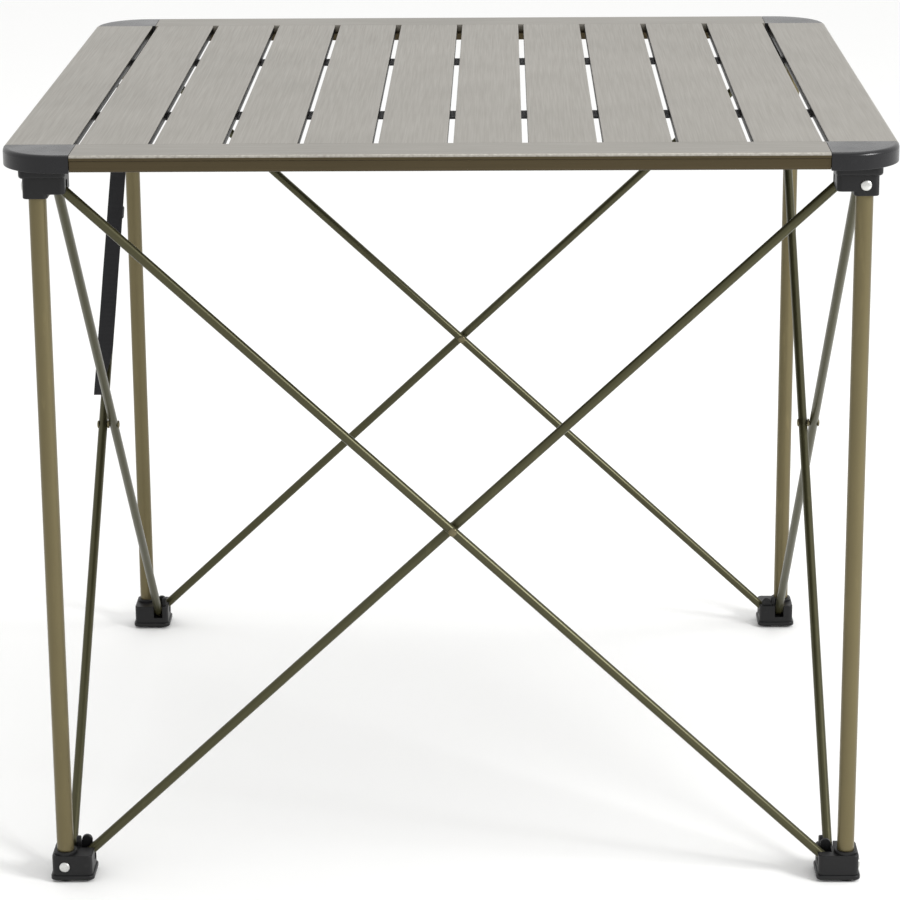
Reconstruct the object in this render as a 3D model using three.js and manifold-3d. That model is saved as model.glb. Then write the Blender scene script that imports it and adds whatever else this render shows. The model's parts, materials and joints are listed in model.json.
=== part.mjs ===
// Folding side table for camping: a roll-up top of twelve slats on a four-sided scissor frame.
// Millimetres, +Z up, origin at the middle of the four feet, on the ground.
// Corners are counted anticlockwise seen from above: front right, back right, back left, front left.
import * as THREE from 'three';
import { mergeVertices } from 'three/addons/utils/BufferGeometryUtils.js';
import Module from 'manifold-3d';

const wasm = await Module();
wasm.setup();

// ---- driving dimensions -------------------------------------------------------------
const TOP_SIDE = 800;            // the top is square
const TOP_HEIGHT = 700;          // ground to the top of the slats
const SLAT_COUNT = 12;
const SLAT_PITCH = 67;
const SLAT_GAP = 5.5;
const SLAT_THICKNESS = 8.5;
const SLAT_WALL = 1.1;
const RIM_WIDTH = 54;            // edge rail and corner cap, front to back
const RAIL_HEIGHT = 15.5;
const RAIL_WALL = 1.4;
const RAIL_EDGE_RADIUS = 4;
const LEDGE = 8;                 // the rail's step that the slat ends lie on
const CAP_HEIGHT = 16;
const CAP_CORNER_RADIUS = 54;
const LEG_AXIS = 368;            // leg axis to the table's middle, in X and in Y
const LEG_TUBE = { outer: 16, inner: 13.6 };
const LEG_INNER_TUBE = { outer: 13, inner: 10.6, length: 480 };
const ARM_TUBE = { outer: 9, inner: 6.6 };
const BLOCK_OUT = 12;            // hub and foot blocks reach this far outside the leg axis
const BLOCK_IN = 26;             // and this far inside it
const PIVOT_IN = 18;             // arm pivots are this far along the side from the leg axis
const HUB_PIVOT_Z = 667;
const FOOT_PIVOT_Z = 18;
const OUTER_ARM_IN = 3.5;        // plane of a side's outer arm, inside the leg axis
const INNER_ARM_IN = 14.5;
const HUB_BOTTOM = 657;
const HUB_ROOF = 6;              // over the socket of the leg's inner tube
const HUB_MOUTH = 4;             // the leg's outer tube ends this far inside the hub
const FOOT_TOP = 26.5;
const FOOT_FLOOR = 8;            // under the socket of the leg's outer tube
const PIN = 4;                   // arm pivot pins
const OUTER_PIN = { in: 7.8, out: 10.5 };  // how far a pin reaches from its arm's axis
const INNER_PIN = { in: 9.2, out: 11.2 };
const PIN_END = 0.8;             // gap at a pin's ends in its blind hole
const RIVET = 5;                 // rivets that hold the leg tubes
const RIVET_DEPTH = 9;           // their holes reach this far past the leg axis
const HUB_RIVET_Z = HUB_PIVOT_Z;
const FOOT_RIVET_Z = FOOT_PIVOT_Z - 2.5;
const SEAM = 0.3;                // gap between pieces that touch
const HUB_TOP = TOP_HEIGHT - CAP_HEIGHT - SEAM;
const WEBBING = { width: 38, thick: 1.5, y: 154, inset: 15 };
const BINDING = { width: 16.5, thick: 1.6, start: 45, end: 445 };

const PIVOT = LEG_AXIS - PIVOT_IN;
const ARM_LENGTH = Math.hypot(2 * PIVOT, HUB_PIVOT_Z - FOOT_PIVOT_Z);
const ARM_ANGLE = Math.atan2(HUB_PIVOT_Z - FOOT_PIVOT_Z, 2 * PIVOT);
const HALF = TOP_SIDE / 2;
const SLAT_END = HALF - RIM_WIDTH;
const FIRST_GAP = ((SLAT_COUNT - 2) / 2) * SLAT_PITCH;
const SLOT = ARM_TUBE.outer + 1; // slots in the blocks that the arm ends turn in
const SLOT_END = ARM_TUBE.outer / 2 + 0.7;
const BEYOND = 10;               // cutting shapes run this far past what they cut

// ---- materials ----------------------------------------------------------------------
const finishes = {
  slat: { color: 0xa9a598, roughness: 0.45, metalness: 0.6 },
  rail: { color: 0x5c5340, roughness: 0.4, metalness: 0.7 },
  tube: { color: 0x635c42, roughness: 0.38, metalness: 0.8 },
  arm: { color: 0x4a482f, roughness: 0.42, metalness: 0.7 },
  plastic: { color: 0x262627, roughness: 0.45, metalness: 0 },
  rivet: { color: 0xdcdcda, roughness: 0.3, metalness: 0.9 },
  webbing: { color: 0x1b1b1c, roughness: 0.9, metalness: 0 },
};

// ---- solids -------------------------------------------------------------------------
// A closed three.js geometry as a solid that can be joined and cut.
function solid(geometry, matrix) {
  const bare = geometry.index ? geometry.toNonIndexed() : geometry.clone();
  bare.deleteAttribute('normal');
  bare.deleteAttribute('uv');
  if (matrix) bare.applyMatrix4(matrix);
  const merged = mergeVertices(bare, 1e-3);
  const corners = merged.index.array;
  const triangles = [];
  for (let i = 0; i < corners.length; i += 3) {
    const [a, b, c] = [corners[i], corners[i + 1], corners[i + 2]];
    if (a !== b && b !== c && c !== a) triangles.push(a, b, c); // a lathe's poles hold slivers
  }
  return new wasm.Manifold(new wasm.Mesh({
    numProp: 3,
    vertProperties: merged.attributes.position.array,
    triVerts: new Uint32Array(triangles),
  }));
}

function geometryOf(shape) {
  const mesh = shape.getMesh();
  const geometry = new THREE.BufferGeometry();
  geometry.setAttribute('position', new THREE.BufferAttribute(new Float32Array(mesh.vertProperties), 3));
  geometry.setIndex(new THREE.BufferAttribute(new Uint32Array(mesh.triVerts), 1));
  geometry.computeVertexNormals();
  return geometry;
}

const shift = (x, y, z) => new THREE.Matrix4().makeTranslation(x, y, z);

// A box between two opposite corners.
function box(x0, x1, y0, y1, z0, z1) {
  return solid(new THREE.BoxGeometry(x1 - x0, y1 - y0, z1 - z0),
    shift((x0 + x1) / 2, (y0 + y1) / 2, (z0 + z1) / 2));
}

// A round bar between two points.
function bar(from, to, diameter, segments = 8) {
  const start = new THREE.Vector3(...from);
  const along = new THREE.Vector3(...to).sub(start);
  const turn = new THREE.Quaternion().setFromUnitVectors(
    new THREE.Vector3(0, 1, 0), along.clone().normalize());
  const middle = start.addScaledVector(along, 0.5);
  const place = new THREE.Matrix4().compose(middle, turn, new THREE.Vector3(1, 1, 1));
  return solid(new THREE.CylinderGeometry(diameter / 2, diameter / 2, along.length(), segments), place);
}

// An outline with rounded corners, drawn anticlockwise from its lower left. The radii are
// those of the lower left, lower right, upper right and upper left corners.
function roundedOutline(x0, x1, y0, y1, radii) {
  const [ll, lr, ur, ul] = Array.isArray(radii) ? radii : [radii, radii, radii, radii];
  const outline = new THREE.Shape();
  outline.moveTo(x0 + ll, y0);
  outline.lineTo(x1 - lr, y0);
  outline.absarc(x1 - lr, y0 + lr, lr, -Math.PI / 2, 0);
  outline.lineTo(x1, y1 - ur);
  outline.absarc(x1 - ur, y1 - ur, ur, 0, Math.PI / 2);
  outline.lineTo(x0 + ul, y1);
  outline.absarc(x0 + ul, y1 - ul, ul, Math.PI / 2, Math.PI);
  outline.lineTo(x0, y0 + ll);
  outline.absarc(x0 + ll, y0 + ll, ll, Math.PI, Math.PI * 1.5);
  return outline;
}

// An upright slab: an outline in XY between two heights, with an optional chamfer.
function slab(outline, z0, z1, chamfer = 0, curveSegments = 2) {
  return solid(new THREE.ExtrudeGeometry(outline, {
    depth: z1 - z0 - 2 * chamfer,
    bevelEnabled: chamfer > 0,
    bevelThickness: chamfer,
    bevelSize: chamfer,
    bevelOffset: -chamfer,
    bevelSegments: 1,
    curveSegments,
  }), shift(0, 0, z0 + chamfer));
}

const joined = (shapes) => shapes.reduce((whole, shape) => whole.add(shape));
const cut = (whole, tools) => tools.reduce((rest, tool) => rest.subtract(tool), whole);

// ---- the object ---------------------------------------------------------------------
const table = new THREE.Group();
const CORNERS = ['front_right', 'back_right', 'back_left', 'front_left'];
const SIDES = ['right', 'back', 'left', 'front'];

function piece(parent, name, geometry, finish) {
  const mesh = new THREE.Mesh(geometry, new THREE.MeshStandardMaterial(finishes[finish]));
  mesh.name = name;
  parent.add(mesh);
  return mesh;
}

// A group turned a quarter turn for each corner. Inside it the shapes are drawn for the
// front right corner, whose leg stands at X = LEG_AXIS, Y = -LEG_AXIS.
function quarterTurn(corner) {
  const group = new THREE.Group();
  group.rotation.z = corner * Math.PI / 2;
  table.add(group);
  return group;
}

// Block coordinates: p runs inwards along -X and q inwards along +Y from the leg axis.
const px = (p) => LEG_AXIS - p;
const qy = (q) => -LEG_AXIS + q;
const blockBox = (p0, p1, q0, q1, z0, z1) => box(px(p1), px(p0), qy(q0), qy(q1), z0, z1);
const blockOutline = (out, inward, radius) => roundedOutline(
  px(inward), px(-out), qy(-out), qy(inward), radius);
const alongP = (p0, p1, q, z, d) => bar([px(p0), qy(q), z], [px(p1), qy(q), z], d);
const alongQ = (q0, q1, p, z, d) => bar([px(p), qy(q0), z], [px(p), qy(q1), z], d);
const upright = (z0, z1, d, segments = 14) => bar(
  [px(0), qy(0), z0], [px(0), qy(0), z1], d, segments);

// Hub: a moulded block on top of each leg. The side's outer arm hangs in one slot and the
// neighbouring side's inner arm in the other. Both slots are open below, so the arms can
// swing down beside the leg when the frame folds. The corner cap rests on its flat top.
function hub() {
  const flange = { out: 3, in: 1, depth: 8, chamfer: 2.4, corner: 6 };
  const body = { rise: 4, sink: 3, corner: 5 };
  const collar = { inset: 1.5, height: 12, corner: 4 };
  const slotTop = HUB_PIVOT_Z + SLOT_END;
  const near = PIVOT_IN - SLOT_END;
  const open = BLOCK_IN + BEYOND;
  const below = HUB_BOTTOM - BEYOND;
  const outer = OUTER_ARM_IN;
  const inner = INNER_ARM_IN;
  return cut(joined([
    slab(blockOutline(BLOCK_OUT + flange.out, BLOCK_IN + flange.in, flange.corner),
      HUB_TOP - flange.depth, HUB_TOP, flange.chamfer),
    slab(blockOutline(BLOCK_OUT, BLOCK_IN, body.corner), HUB_BOTTOM + body.rise, HUB_TOP - body.sink),
    slab(blockOutline(BLOCK_OUT, BLOCK_OUT - collar.inset, collar.corner),
      HUB_BOTTOM, HUB_BOTTOM + collar.height),
  ]), [
    blockBox(outer - SLOT / 2, outer + SLOT / 2, near, open, below, slotTop),
    blockBox(near, open, inner - SLOT / 2, inner + SLOT / 2, below, slotTop),
    alongP(outer - OUTER_PIN.out - PIN_END, outer + OUTER_PIN.in + PIN_END,
      PIVOT_IN, HUB_PIVOT_Z, PIN + 2 * SEAM),
    alongQ(inner - INNER_PIN.out - PIN_END, inner + INNER_PIN.in + PIN_END,
      PIVOT_IN, HUB_PIVOT_Z, PIN + 2 * SEAM),
    upright(below, HUB_TOP - HUB_ROOF, LEG_INNER_TUBE.outer + 2 * SEAM),
    upright(below, HUB_BOTTOM + HUB_MOUTH, LEG_TUBE.outer + 2 * SEAM),
    alongQ(-BLOCK_OUT - BEYOND, RIVET_DEPTH, 0, HUB_RIVET_Z, RIVET + 2 * SEAM),
  ]);
}

// Foot: a moulded block with a sole flange and a nub that stands on the ground. Its two
// slots are open above, and a prong stands beside each slot on the side of the table's middle.
function foot() {
  const sole = { reach: 1.5, bottom: 2.5, top: 7, corner: 6 };
  const body = { bottom: 5, corner: 5 };
  const collar = { below: 6, above: 3, wall: 3 };
  const nub = { height: 4, diameter: 20, heelIn: 16, heelDiameter: 14 };
  const prong = { thick: 4, half: 5, top: FOOT_PIVOT_Z + 17, bottom: 8 };
  const outer = OUTER_ARM_IN;
  const inner = INNER_ARM_IN;
  const above = FOOT_TOP + 4 * BEYOND;
  const slotFloor = FOOT_PIVOT_Z - SLOT_END;
  const near = PIVOT_IN - SLOT_END;
  const open = BLOCK_IN + BEYOND;
  const [low, high] = [PIVOT_IN - prong.half, PIVOT_IN + prong.half];
  const [outerWall, innerWall] = [outer + SLOT / 2, inner + SLOT / 2];
  const straight = prong.top - prong.half;
  const prongs = joined([
    blockBox(low, high, outerWall, outerWall + prong.thick, prong.bottom, straight),
    alongQ(outerWall, outerWall + prong.thick, PIVOT_IN, straight, 2 * prong.half),
    blockBox(innerWall, innerWall + prong.thick, low, high, prong.bottom, straight),
    alongP(innerWall, innerWall + prong.thick, PIVOT_IN, straight, 2 * prong.half),
  ]);
  return cut(joined([
    slab(blockOutline(BLOCK_OUT + sole.reach, BLOCK_IN + sole.reach, sole.corner), sole.bottom, sole.top),
    slab(blockOutline(BLOCK_OUT, BLOCK_IN, body.corner), body.bottom, FOOT_TOP),
    upright(FOOT_TOP - collar.below, FOOT_TOP + collar.above, LEG_TUBE.outer + 2 * collar.wall),
    upright(0, nub.height, nub.diameter),
    bar([px(nub.heelIn), qy(nub.heelIn), 0], [px(nub.heelIn), qy(nub.heelIn), nub.height],
      nub.heelDiameter),
    prongs,
  ]), [
    blockBox(inner - SLOT / 2, inner + SLOT / 2, near, open, slotFloor, above),
    blockBox(near, open, outer - SLOT / 2, outer + SLOT / 2, slotFloor, above),
    alongP(inner - INNER_PIN.out - PIN_END, inner + INNER_PIN.in + PIN_END,
      PIVOT_IN, FOOT_PIVOT_Z, PIN + 2 * SEAM),
    alongQ(outer - OUTER_PIN.out - PIN_END, outer + OUTER_PIN.in + PIN_END,
      PIVOT_IN, FOOT_PIVOT_Z, PIN + 2 * SEAM),
    upright(FOOT_FLOOR, above, LEG_TUBE.outer + 2 * SEAM),
    alongP(-BLOCK_OUT - BEYOND, RIVET_DEPTH, 0, FOOT_RIVET_Z, RIVET + 2 * SEAM),
  ]);
}

// A leg is two tubes: the outer one is riveted in the foot, the inner one in the hub, and
// the inner one slides out of the outer one as the frame folds.
function legTube() {
  return cut(upright(FOOT_FLOOR + SEAM, HUB_BOTTOM + HUB_MOUTH - SEAM, LEG_TUBE.outer), [
    upright(0, TOP_HEIGHT, LEG_TUBE.inner),
    alongP(-BLOCK_OUT, BLOCK_OUT, 0, FOOT_RIVET_Z, RIVET + 2 * SEAM),
  ]);
}

function legInnerTube() {
  const top = HUB_TOP - HUB_ROOF - SEAM;
  return cut(upright(top - LEG_INNER_TUBE.length, top, LEG_INNER_TUBE.outer), [
    upright(0, TOP_HEIGHT, LEG_INNER_TUBE.inner),
    alongQ(-BLOCK_OUT, BLOCK_OUT, 0, HUB_RIVET_Z, RIVET + 2 * SEAM),
  ]);
}

// The profile of a domed rivet head, from its crown on the axis out to its rim. The head
// stands on the plane Y = face and points up (side 1) or down (side -1).
function domedHead(face, side, radius, height, steps) {
  const rim = 0.5;
  return Array.from({ length: steps + 1 }, (_, step) => {
    const angle = (step / steps) * Math.PI / 2;
    return new THREE.Vector2(radius * Math.sin(angle), face + side * (rim + height * Math.cos(angle)));
  });
}

// A leg rivet: a shank along +Y with its domed head just outside Y = 0.
function rivet() {
  const domeHeight = 1.8;
  const tip = BLOCK_OUT + RIVET_DEPTH - 1;
  return solid(new THREE.LatheGeometry([
    ...domedHead(-SEAM, -1, RIVET, domeHeight, 3),
    new THREE.Vector2(RIVET, -SEAM), new THREE.Vector2(RIVET / 2, -SEAM),
    new THREE.Vector2(RIVET / 2, tip), new THREE.Vector2(0, tip),
  ], 8));
}

// Arm: a round tube with rounded ends and a pin through each end, drawn along X with its
// middle at the origin. The pins lie along Z, which points out of the frame.
function arm(pin) {
  const end = ARM_LENGTH / 2;
  const radius = ARM_TUBE.outer / 2;
  const sides = 10;
  const tube = bar([-end - radius, 0, 0], [end + radius, 0, 0], ARM_TUBE.outer, sides);
  const roundedEnds = joined([
    box(-end, end, -radius, radius, -radius, radius),
    bar([-end, 0, -radius], [-end, 0, radius], ARM_TUBE.outer, sides),
    bar([end, 0, -radius], [end, 0, radius], ARM_TUBE.outer, sides),
  ]);
  const bore = bar([-ARM_LENGTH, 0, 0], [ARM_LENGTH, 0, 0], ARM_TUBE.inner);
  const crossingHole = bar([0, 0, -BEYOND], [0, 0, BEYOND], PIN + 2 * SEAM);
  return joined([
    cut(tube.intersect(roundedEnds), [bore, crossingHole]),
    bar([-end, 0, -pin.in], [-end, 0, pin.out], PIN),
    bar([end, 0, -pin.in], [end, 0, pin.out], PIN),
  ]);
}

// Where two arms cross, a rivet with a washer collar between them, along Y.
function crossingRivet() {
  const half = (INNER_ARM_IN - OUTER_ARM_IN) / 2;
  const face = half + ARM_TUBE.outer / 2 + SEAM;
  const collar = half - ARM_TUBE.outer / 2 - SEAM;
  const shank = PIN / 2;
  const head = 4.6;
  const domeHeight = 1.4;
  return solid(new THREE.LatheGeometry([
    ...domedHead(-face, -1, head, domeHeight, 2),
    new THREE.Vector2(head, -face), new THREE.Vector2(shank, -face),
    new THREE.Vector2(shank, -collar), new THREE.Vector2(head, -collar),
    new THREE.Vector2(head, collar), new THREE.Vector2(shank, collar),
    new THREE.Vector2(shank, face), new THREE.Vector2(head, face),
    ...domedHead(face, 1, head, domeHeight, 2).reverse(),
  ], 8));
}

const hubGeometry = geometryOf(hub());
const footGeometry = geometryOf(foot());
const legTubeGeometry = geometryOf(legTube());
const legInnerGeometry = geometryOf(legInnerTube());
const outerArmGeometry = geometryOf(arm(OUTER_PIN));
const innerArmGeometry = geometryOf(arm(INNER_PIN));
const rivetGeometry = geometryOf(rivet());
const crossingGeometry = geometryOf(crossingRivet());

CORNERS.forEach((corner, turn) => {
  const group = quarterTurn(turn);
  piece(group, `foot_${corner}`, footGeometry, 'plastic');
  piece(group, `leg_tube_${corner}`, legTubeGeometry, 'tube');
  piece(group, `leg_inner_tube_${corner}`, legInnerGeometry, 'tube');
  piece(group, `hub_${corner}`, hubGeometry, 'plastic');
  const hubRivet = piece(group, `hub_rivet_${corner}`, rivetGeometry, 'rivet');
  hubRivet.position.set(LEG_AXIS, -LEG_AXIS - BLOCK_OUT, HUB_RIVET_Z);
  const footRivet = piece(group, `foot_rivet_${corner}`, rivetGeometry, 'rivet');
  footRivet.rotation.z = Math.PI / 2;
  footRivet.position.set(LEG_AXIS + BLOCK_OUT, -LEG_AXIS, FOOT_RIVET_Z);
});

// Sets an arm on the right-hand side, which runs along Y. The drawn arm's X runs up it, to
// the back (direction 1) or to the front (direction -1), and its Z points outwards along X.
const CROSSING_Z = (HUB_PIVOT_Z + FOOT_PIVOT_Z) / 2;

function placeArm(mesh, inward, direction) {
  const basis = new THREE.Matrix4().makeBasis(
    new THREE.Vector3(0, direction * Math.cos(ARM_ANGLE), Math.sin(ARM_ANGLE)),
    new THREE.Vector3(0, -Math.sin(ARM_ANGLE), direction * Math.cos(ARM_ANGLE)),
    new THREE.Vector3(1, 0, 0));
  mesh.quaternion.setFromRotationMatrix(basis);
  mesh.position.set(LEG_AXIS - inward, 0, CROSSING_Z);
}

SIDES.forEach((side, turn) => {
  const group = quarterTurn(turn);
  placeArm(piece(group, `outer_arm_${side}`, outerArmGeometry, 'arm'), OUTER_ARM_IN, -1);
  placeArm(piece(group, `inner_arm_${side}`, innerArmGeometry, 'arm'), INNER_ARM_IN, 1);
  const crossing = piece(group, `crossing_rivet_${side}`, crossingGeometry, 'rivet');
  crossing.rotation.z = Math.PI / 2;
  crossing.position.set(LEG_AXIS - (OUTER_ARM_IN + INNER_ARM_IN) / 2, 0, CROSSING_Z);
});

// ---- the top ------------------------------------------------------------------------
const SLAT_BOTTOM = TOP_HEIGHT - SLAT_THICKNESS;
const RAIL_BOTTOM = TOP_HEIGHT - RAIL_HEIGHT;
const CAP_INNER_X = FIRST_GAP + 0.1;
const RAIL_END = FIRST_GAP - 0.4;

// An outline in XZ made into a bar along Y, and an outline in YZ made into a bar along X.
const alongY = (outline, half, curveSegments) => solid(new THREE.ExtrudeGeometry(outline, {
  depth: 2 * half, bevelEnabled: false, curveSegments,
}), new THREE.Matrix4().makeRotationX(Math.PI / 2).setPosition(0, half, 0));

const alongX = (outline, half, curveSegments) => solid(new THREE.ExtrudeGeometry(outline, {
  depth: 2 * half, bevelEnabled: false, curveSegments,
}), new THREE.Matrix4().makeBasis(
  new THREE.Vector3(0, 1, 0), new THREE.Vector3(0, 0, 1), new THREE.Vector3(1, 0, 0),
).setPosition(-half, 0, 0));

// Slat: an extruded bar with three chambers. The two end slats have a rounded outer edge.
const CHAMBERS = 3;

function chamber(x0, x1, index) {
  const width = (x1 - x0 - (CHAMBERS + 1) * SLAT_WALL) / CHAMBERS;
  const start = x0 + SLAT_WALL + index * (width + SLAT_WALL);
  return [start, start + width];
}

function slat(x0, x1, leftRadius, rightRadius) {
  const edge = 1.2;
  const lower = 2;                 // a rounded outer edge is less round below
  const outline = roundedOutline(x0, x1, SLAT_BOTTOM, TOP_HEIGHT,
    [Math.min(leftRadius, lower), Math.min(rightRadius, lower), rightRadius, leftRadius].map(
      (radius) => Math.max(radius, edge)));
  const hollows = Array.from({ length: CHAMBERS }, (_, index) => {
    const [left, right] = chamber(x0, x1, index);
    return box(left, right, -HALF, HALF, SLAT_BOTTOM + SLAT_WALL, TOP_HEIGHT - SLAT_WALL);
  });
  return cut(alongY(outline, SLAT_END - 0.1, 3), hollows);
}

function slatSpan(index) {
  const left = -FIRST_GAP + (index - 1) * SLAT_PITCH + SLAT_GAP / 2;
  const right = left + SLAT_PITCH - SLAT_GAP;
  return [index === 0 ? -HALF : left, index === SLAT_COUNT - 1 ? HALF : right];
}

// Front edge rail: an extrusion with a rounded nose over a plain face, two chambers, and a
// step that carries the slat ends. A tongue at each end plugs into a corner cap.
const TONGUE = { root: 4, reach: 14, front: 9, back: 6, below: 0.9, above: 6, gap: 0.8 };

function edgeRail() {
  const outerY = -HALF;
  const innerY = -SLAT_END - SEAM;
  const stepY = -SLAT_END + LEDGE;
  const stepZ = SLAT_BOTTOM - SEAM;
  const faceY = outerY + 1.3;      // the face lies back from the nose
  const noseBottom = TOP_HEIGHT - RAIL_EDGE_RADIUS - 1.2;
  const bottomRadius = 3;
  const outline = new THREE.Shape();
  outline.moveTo(faceY + bottomRadius, RAIL_BOTTOM);
  outline.lineTo(stepY, RAIL_BOTTOM);
  outline.lineTo(stepY, stepZ);
  outline.lineTo(innerY, stepZ);
  outline.lineTo(innerY, TOP_HEIGHT);
  outline.lineTo(outerY + RAIL_EDGE_RADIUS, TOP_HEIGHT);
  outline.absarc(outerY + RAIL_EDGE_RADIUS, TOP_HEIGHT - RAIL_EDGE_RADIUS, RAIL_EDGE_RADIUS,
    Math.PI / 2, Math.PI);
  outline.lineTo(faceY, noseBottom);
  outline.lineTo(faceY, RAIL_BOTTOM + bottomRadius);
  outline.absarc(faceY + bottomRadius, RAIL_BOTTOM + bottomRadius, bottomRadius,
    Math.PI, Math.PI * 1.5);
  const noseWall = 3.6;
  const web = outerY + 28;         // between the front chamber and the back one
  const thick = RAIL_WALL + 0.6;
  const floor = RAIL_BOTTOM + RAIL_WALL;
  const hollows = [
    box(-HALF, HALF, outerY + noseWall, web, RAIL_BOTTOM + thick, TOP_HEIGHT - thick),
    box(-HALF, HALF, web + RAIL_WALL, innerY - RAIL_WALL, floor, TOP_HEIGHT - RAIL_WALL),
    box(-HALF, HALF, web + RAIL_WALL, stepY - RAIL_WALL, floor, stepZ - RAIL_WALL),
  ];
  const tongues = [-1, 1].map((side) => {
    const ends = [side * (RAIL_END - TONGUE.root), side * (RAIL_END + TONGUE.reach)];
    return box(Math.min(...ends), Math.max(...ends), outerY + TONGUE.front, -SLAT_END - TONGUE.back,
      RAIL_BOTTOM + TONGUE.below, TOP_HEIGHT - TONGUE.above);
  });
  return joined([cut(alongX(outline, RAIL_END, 5), hollows), ...tongues]);
}

// Corner cap, drawn for the front right corner: a moulded block with a swept outer corner,
// a pocket that drops over the rail's tongue and a tongue that plugs the end slat. Its flat
// underside rests on the hub.
function cornerCap() {
  const beyond = 2 * BEYOND;
  const depth = 2 * CAP_HEIGHT;
  const inner = -SLAT_END - SEAM;
  const bottom = TOP_HEIGHT - CAP_HEIGHT;
  const bevel = RAIL_EDGE_RADIUS;
  const plug = { side: 0.5, root: 3, reach: 15, gap: 0.4 };
  const sweep = roundedOutline(CAP_INNER_X - beyond, HALF, -HALF, inner + beyond,
    [0, CAP_CORNER_RADIUS, 0, 0]);
  const crown = solid(new THREE.ExtrudeGeometry(sweep, {
    depth, bevelEnabled: true, bevelThickness: bevel, bevelSize: bevel, bevelOffset: -bevel,
    bevelSegments: 3, curveSegments: 6,
  }), shift(0, 0, TOP_HEIGHT - depth - bevel));
  const body = crown.intersect(box(CAP_INNER_X, HALF, -HALF, inner, bottom, TOP_HEIGHT));
  const pocket = box(CAP_INNER_X - BEYOND, RAIL_END + TONGUE.reach + 2,
    -HALF + TONGUE.front - TONGUE.gap, -SLAT_END - TONGUE.back + TONGUE.gap,
    bottom - BEYOND, TOP_HEIGHT - TONGUE.above + TONGUE.gap);
  const [left, right] = chamber(...slatSpan(SLAT_COUNT - 1), 1);
  const slatPlug = box(left + plug.side, right - plug.side, inner - plug.root, inner + plug.reach,
    SLAT_BOTTOM + SLAT_WALL + plug.gap, TOP_HEIGHT - SLAT_WALL - plug.gap);
  return joined([cut(body, [pocket]), slatPlug]);
}

for (let index = 0; index < SLAT_COUNT; index += 1) {
  const [left, right] = slatSpan(index);
  const edge = 3.5;
  const name = `slat_${String(index + 1).padStart(2, '0')}`;
  const shape = slat(left, right, index === 0 ? edge : 0, index === SLAT_COUNT - 1 ? edge : 0);
  piece(table, name, geometryOf(shape), 'slat');
}

const railGeometry = geometryOf(edgeRail());
['front', 'back'].forEach((side, turn) => {
  piece(table, `edge_rail_${side}`, railGeometry, 'rail').rotation.z = turn * Math.PI;
});

// The caps at the right are the drawn one and its mirror image, and half a turn brings the
// same two shapes to the left.
const mirrored = new THREE.Matrix4().makeScale(1, -1, 1);
const frontRightCap = cornerCap();
const capGeometries = [geometryOf(frontRightCap), geometryOf(frontRightCap.transform(mirrored.elements))];
CORNERS.forEach((corner, turn) => {
  const cap = piece(table, `corner_cap_${corner}`, capGeometries[turn % 2], 'plastic');
  cap.rotation.z = turn >= 2 ? Math.PI : 0;
});

// Two webbing straps under the slats join them, so that the top rolls up.
['front', 'back'].forEach((side, index) => {
  const middle = (index === 0 ? -1 : 1) * WEBBING.y;
  const top = SLAT_BOTTOM - SEAM;
  piece(table, `webbing_${side}`, geometryOf(box(-HALF + WEBBING.inset, HALF - WEBBING.inset,
    middle - WEBBING.width / 2, middle + WEBBING.width / 2, top - WEBBING.thick, top)), 'webbing');
});

// Binding strap: lies along the upper half of the left side's outer arm, held by two loops.
// Drawn in the arm's own frame, whose X runs up the arm and whose Z points outwards.
function bindingStrap() {
  const hubEnd = ARM_LENGTH / 2;
  const radius = ARM_TUBE.outer / 2;
  const upper = -radius - 0.4;
  const loop = { starts: [65, 205], width: 12, out: radius + BINDING.thick };
  const ribbon = box(hubEnd - BINDING.end, hubEnd - BINDING.start,
    upper - BINDING.thick, upper, -radius - 1, BINDING.width - radius - 1);
  const loops = loop.starts.map((start) => box(hubEnd - start - loop.width, hubEnd - start,
    upper - BINDING.thick, loop.out, -loop.out, loop.out));
  return cut(joined([ribbon, ...loops]),
    [bar([-ARM_LENGTH, 0, 0], [ARM_LENGTH, 0, 0], ARM_TUBE.outer + 0.7, 10)]);
}

const LEFT = SIDES.indexOf('left');
const leftSide = quarterTurn(LEFT);
placeArm(piece(leftSide, 'binding_strap', geometryOf(bindingStrap()), 'webbing'), OUTER_ARM_IN, -1);

export default table;
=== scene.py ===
"""Looks of a folding camp table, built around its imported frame. Metres, +Z up."""
import json
import math

import bmesh
import bpy
from bpy.props import FloatProperty, FloatVectorProperty, IntProperty, PointerProperty
from mathutils import Matrix, Vector


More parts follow.
